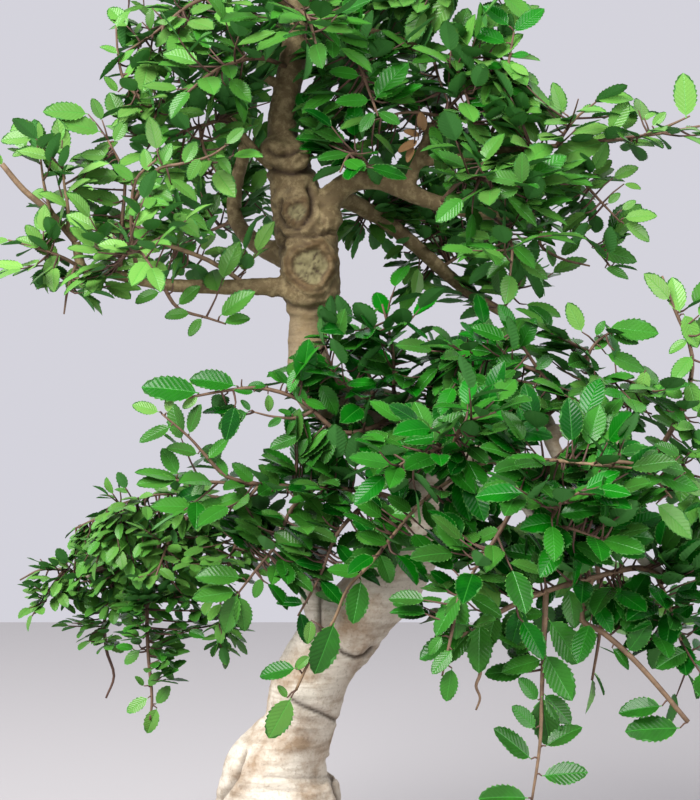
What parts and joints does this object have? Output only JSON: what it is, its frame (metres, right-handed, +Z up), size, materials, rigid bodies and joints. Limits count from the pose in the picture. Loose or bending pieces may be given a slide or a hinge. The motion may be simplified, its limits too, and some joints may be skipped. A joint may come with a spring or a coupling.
{
  "type": "zelkova bonsai in a pot",
  "caption": "Zelkova bonsai with a twisting trunk, healed pruning scars and spreading leafy limbs, rooted in soil in a plain unglazed rectangular footed pot.",
  "frame": {"origin": "on the ground, under the middle of the object's outline seen from above", "axes": "+Z up along the tree, -Y towards the front that the tree is seen from, +X to the right along the pot's length"},
  "size_m": [0.3858, 0.2832, 0.5737],
  "materials": {
    "stoneware": "unglazed, matt",
    "mesh_plastic": "matt",
    "soil": "loose baked clay grains",
    "bark": "smooth pale bark with stains and scars",
    "foliage": "fresh leaves with a soft sheen"
  },
  "bodies": {
    "root": {"pot": "stoneware", "drain_mesh_left": "mesh_plastic", "drain_mesh_right": "mesh_plastic", "soil": "soil", "trunk": "bark", "spray_back_left_high": "foliage", "spray_back_left_low": "foliage", "spray_back_left_middle": "foliage", "spray_crown_apex": "foliage", "spray_crown_back": "foliage", "spray_crown_front": "foliage", "spray_crown_front_left": "foliage", "spray_crown_front_right": "foliage", "spray_crown_left_back": "foliage", "spray_crown_left_high": "foliage", "spray_crown_left_low": "foliage", "spray_crown_left_middle": "foliage", "spray_crown_right_back": "foliage", "spray_crown_right_high": "foliage", "spray_crown_right_low": "foliage", "spray_crown_right_middle": "foliage", "spray_front_left_low": "foliage", "spray_front_right_down": "foliage", "spray_front_right_far": "foliage", "spray_front_right_high": "foliage", "spray_front_right_low": "foliage", "spray_left_back": "foliage", "spray_left_far": "foliage", "spray_left_front": "foliage", "spray_left_hanging": "foliage", "spray_left_tan": "foliage", "spray_left_tip": "foliage", "spray_left_upright_inner": "foliage", "spray_left_upright_middle": "foliage", "spray_low_left_back": "foliage", "spray_low_left_hanging": "foliage", "spray_low_left_high": "foliage", "spray_low_left_middle": "foliage", "spray_low_left_tip": "foliage", "spray_low_right": "foliage", "spray_low_right_back": "foliage", "spray_middle_back": "foliage", "spray_middle_far": "foliage", "spray_middle_left": "foliage", "spray_middle_shoot": "foliage", "spray_right_back_high": "foliage", "spray_right_back_inner": "foliage", "spray_right_back_low": "foliage", "spray_right_back_tip": "foliage", "spray_right_edge": "foliage", "spray_right_far": "foliage", "spray_right_front": "foliage", "spray_right_front_low": "foliage", "spray_right_inner": "foliage", "spray_right_light": "foliage", "spray_right_tip": "foliage", "spray_right_top": "foliage", "spray_right_upright": "foliage", "spray_upper_left": "foliage"}
  },
  "joints": []
}
